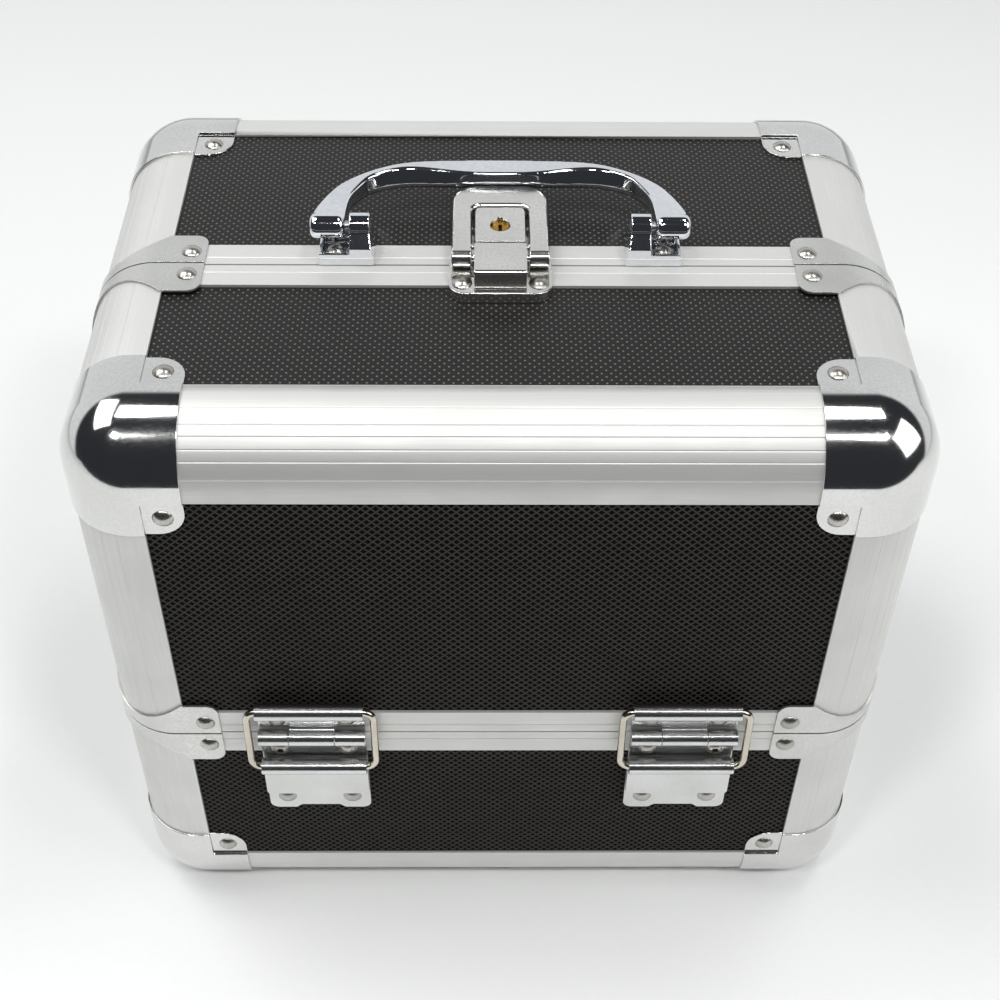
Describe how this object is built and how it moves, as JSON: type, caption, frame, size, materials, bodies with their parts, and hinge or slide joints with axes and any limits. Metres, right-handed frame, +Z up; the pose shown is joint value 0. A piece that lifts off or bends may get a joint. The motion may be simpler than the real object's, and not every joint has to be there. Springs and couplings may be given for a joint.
{
  "type": "makeup train case",
  "caption": "Aluminium-edged black makeup train case with a split top on hinge latches, cantilever trays, bow handle and key lock",
  "frame": {"origin": "on the floor under the middle of the case", "axes": "+X to the right along the width, +Y to the rear, +Z up; the front face looks along -Y"},
  "size_m": [0.2586, 0.1954, 0.2416],
  "materials": {
    "panel": "black embossed ABS sheet with a fine diamond grain",
    "aluminium": "satin anodised extrusion",
    "pressed_steel": "bright plated pressed steel",
    "chrome": "polished chrome plating",
    "nickel": "nickel plated wire",
    "rivet": "plated steel, dome headed",
    "steel": "plain zinc plated steel",
    "brass": "turned brass",
    "tray": "black moulded tray"
  },
  "bodies": {
    "base": {"base_ball_corners": "pressed_steel", "base_bottom_panel": "panel", "base_bottom_rails": "aluminium", "base_corner_posts": "aluminium", "base_front_panel": "panel", "base_rear_panel": "panel", "base_rim_channels": "aluminium", "base_rivets": "rivet", "base_seam_brackets": "pressed_steel", "base_side_panels": "panel", "hinge_lower_leaves": "chrome", "hinge_pins": "steel", "tray_arm_studs": "steel"},
    "front_lid": {"front_hinge_upper_leaves": "chrome", "front_lid_ball_corners": "pressed_steel", "front_lid_corner_posts": "aluminium", "front_lid_rim_channels": "aluminium", "front_lid_rivets": "rivet", "front_lid_seam_brackets": "pressed_steel", "front_lid_seam_channels": "aluminium", "front_lid_side_panels": "panel", "front_lid_top_edges": "aluminium", "front_lid_top_panel": "panel", "front_lid_tray_studs": "steel", "front_lid_wall_panel": "panel", "lock_keeper": "chrome"},
    "rear_lid": {"handle_pins": "steel", "handle_posts": "chrome", "lock_housing": "chrome", "rear_hinge_upper_leaves": "chrome", "rear_lid_ball_corners": "pressed_steel", "rear_lid_corner_posts": "aluminium", "rear_lid_rim_channels": "aluminium", "rear_lid_rivets": "rivet", "rear_lid_seam_brackets": "pressed_steel", "rear_lid_seam_channels": "aluminium", "rear_lid_side_panels": "panel", "rear_lid_top_edges": "aluminium", "rear_lid_top_panel": "panel", "rear_lid_tray_studs": "steel", "rear_lid_wall_panel": "panel"},
    "front_left_bail": {"front_left_bail": "nickel"},
    "front_left_latch_lever": {"front_left_latch_lever": "chrome"},
    "front_lower_tray": {"front_lower_tray": "tray"},
    "front_right_bail": {"front_right_bail": "nickel"},
    "front_right_latch_lever": {"front_right_latch_lever": "chrome"},
    "front_tray_arms": {"front_tray_arms": "steel"},
    "front_upper_tray": {"front_upper_tray": "tray"},
    "handle": {"handle": "chrome"},
    "key_plug": {"key_plug": "brass"},
    "lock_claw": {"lock_claw": "chrome"},
    "lock_lever": {"lock_lever": "chrome"},
    "rear_left_bail": {"rear_left_bail": "nickel"},
    "rear_left_latch_lever": {"rear_left_latch_lever": "chrome"},
    "rear_lower_tray": {"rear_lower_tray": "tray"},
    "rear_right_bail": {"rear_right_bail": "nickel"},
    "rear_right_latch_lever": {"rear_right_latch_lever": "chrome"},
    "rear_tray_arms": {"rear_tray_arms": "steel"},
    "rear_upper_tray": {"rear_upper_tray": "tray"}
  },
  "joints": [
    {"name": "front_lid_hinge", "type": "hinge", "parent": "base", "child": "front_lid", "pos_m": [0, -0.0933, 0.099], "axis": [1, 0, 0], "range_deg": [0, 90]},
    {"name": "front_lower_tray_pivot", "type": "hinge", "parent": "front_lid", "child": "front_lower_tray", "pos_m": [0, -0.0713, 0.125], "axis": [1, 0, 0], "range_deg": [-90, 0]},
    {"name": "front_upper_tray_pivot", "type": "hinge", "parent": "front_lid", "child": "front_upper_tray", "pos_m": [0, -0.0453, 0.1557], "axis": [1, 0, 0], "range_deg": [-90, 0]},
    {"name": "front_tray_arm_pivot", "type": "hinge", "parent": "base", "child": "front_tray_arms", "pos_m": [0, -0.0683, 0.094], "axis": [1, 0, 0], "range_deg": [0, 90]},
    {"name": "front_left_bail_pivot", "type": "hinge", "parent": "front_lid", "child": "front_left_bail", "pos_m": [-0.0614, -0.0933, 0.1124], "axis": [1, 0, 0], "range_deg": [-90, 0]},
    {"name": "front_left_latch_lever_pivot", "type": "hinge", "parent": "front_left_bail", "child": "front_left_latch_lever", "pos_m": [-0.0614, -0.0949, 0.0852], "axis": [-1, 0, 0], "range_deg": [0, 110]},
    {"name": "front_right_bail_pivot", "type": "hinge", "parent": "front_lid", "child": "front_right_bail", "pos_m": [0.0614, -0.0933, 0.1124], "axis": [1, 0, 0], "range_deg": [-90, 0]},
    {"name": "front_right_latch_lever_pivot", "type": "hinge", "parent": "front_right_bail", "child": "front_right_latch_lever", "pos_m": [0.0614, -0.0949, 0.0852], "axis": [-1, 0, 0], "range_deg": [0, 110]},
    {"name": "rear_lid_hinge", "type": "hinge", "parent": "base", "child": "rear_lid", "pos_m": [0, 0.0933, 0.099], "axis": [-1, 0, 0], "range_deg": [0, 90]},
    {"name": "rear_lower_tray_pivot", "type": "hinge", "parent": "rear_lid", "child": "rear_lower_tray", "pos_m": [0, 0.0713, 0.125], "axis": [-1, 0, 0], "range_deg": [-90, 0]},
    {"name": "rear_upper_tray_pivot", "type": "hinge", "parent": "rear_lid", "child": "rear_upper_tray", "pos_m": [0, 0.0453, 0.1557], "axis": [-1, 0, 0], "range_deg": [-90, 0]},
    {"name": "rear_tray_arm_pivot", "type": "hinge", "parent": "base", "child": "rear_tray_arms", "pos_m": [0, 0.0683, 0.094], "axis": [-1, 0, 0], "range_deg": [0, 90]},
    {"name": "rear_left_bail_pivot", "type": "hinge", "parent": "rear_lid", "child": "rear_left_bail", "pos_m": [-0.0614, 0.0933, 0.1124], "axis": [-1, 0, 0], "range_deg": [-90, 0]},
    {"name": "rear_left_latch_lever_pivot", "type": "hinge", "parent": "rear_left_bail", "child": "rear_left_latch_lever", "pos_m": [-0.0614, 0.0949, 0.0852], "axis": [1, 0, 0], "range_deg": [0, 110]},
    {"name": "rear_right_bail_pivot", "type": "hinge", "parent": "rear_lid", "child": "rear_right_bail", "pos_m": [0.0614, 0.0933, 0.1124], "axis": [-1, 0, 0], "range_deg": [-90, 0]},
    {"name": "rear_right_latch_lever_pivot", "type": "hinge", "parent": "rear_right_bail", "child": "rear_right_latch_lever", "pos_m": [0.0614, 0.0949, 0.0852], "axis": [1, 0, 0], "range_deg": [0, 110]},
    {"name": "handle_pivot", "type": "hinge", "parent": "rear_lid", "child": "handle", "pos_m": [0, -0.0016, 0.2376], "axis": [1, 0, 0], "range_deg": [0, 170]},
    {"name": "lock_lever_pivot", "type": "hinge", "parent": "rear_lid", "child": "lock_lever", "pos_m": [0, -0.013, 0.2339], "axis": [1, 0, 0], "range_deg": [0, 80]},
    {"name": "lock_claw_pivot", "type": "hinge", "parent": "lock_lever", "child": "lock_claw", "pos_m": [0, -0.0096, 0.2355], "axis": [1, 0, 0], "range_deg": [-140, 0]},
    {"name": "key_turn", "type": "hinge", "parent": "rear_lid", "child": "key_plug", "pos_m": [0, 0.0005, 0.233], "axis": [0, 0, 1], "range_deg": [0, 90]}
  ],
  "couplings": [
    {"joint": "front_lower_tray_pivot", "follows": "front_lid_hinge", "ratio": -1},
    {"joint": "front_upper_tray_pivot", "follows": "front_lid_hinge", "ratio": -1},
    {"joint": "front_tray_arm_pivot", "follows": "front_lid_hinge", "ratio": 1},
    {"joint": "front_left_bail_pivot", "follows": "front_lid_hinge", "ratio": -1},
    {"joint": "front_right_bail_pivot", "follows": "front_lid_hinge", "ratio": -1},
    {"joint": "rear_lower_tray_pivot", "follows": "rear_lid_hinge", "ratio": -1},
    {"joint": "rear_upper_tray_pivot", "follows": "rear_lid_hinge", "ratio": -1},
    {"joint": "rear_tray_arm_pivot", "follows": "rear_lid_hinge", "ratio": 1},
    {"joint": "rear_left_bail_pivot", "follows": "rear_lid_hinge", "ratio": -1},
    {"joint": "rear_right_bail_pivot", "follows": "rear_lid_hinge", "ratio": -1},
    {"joint": "lock_claw_pivot", "follows": "lock_lever_pivot", "ratio": -1.75}
  ]
}
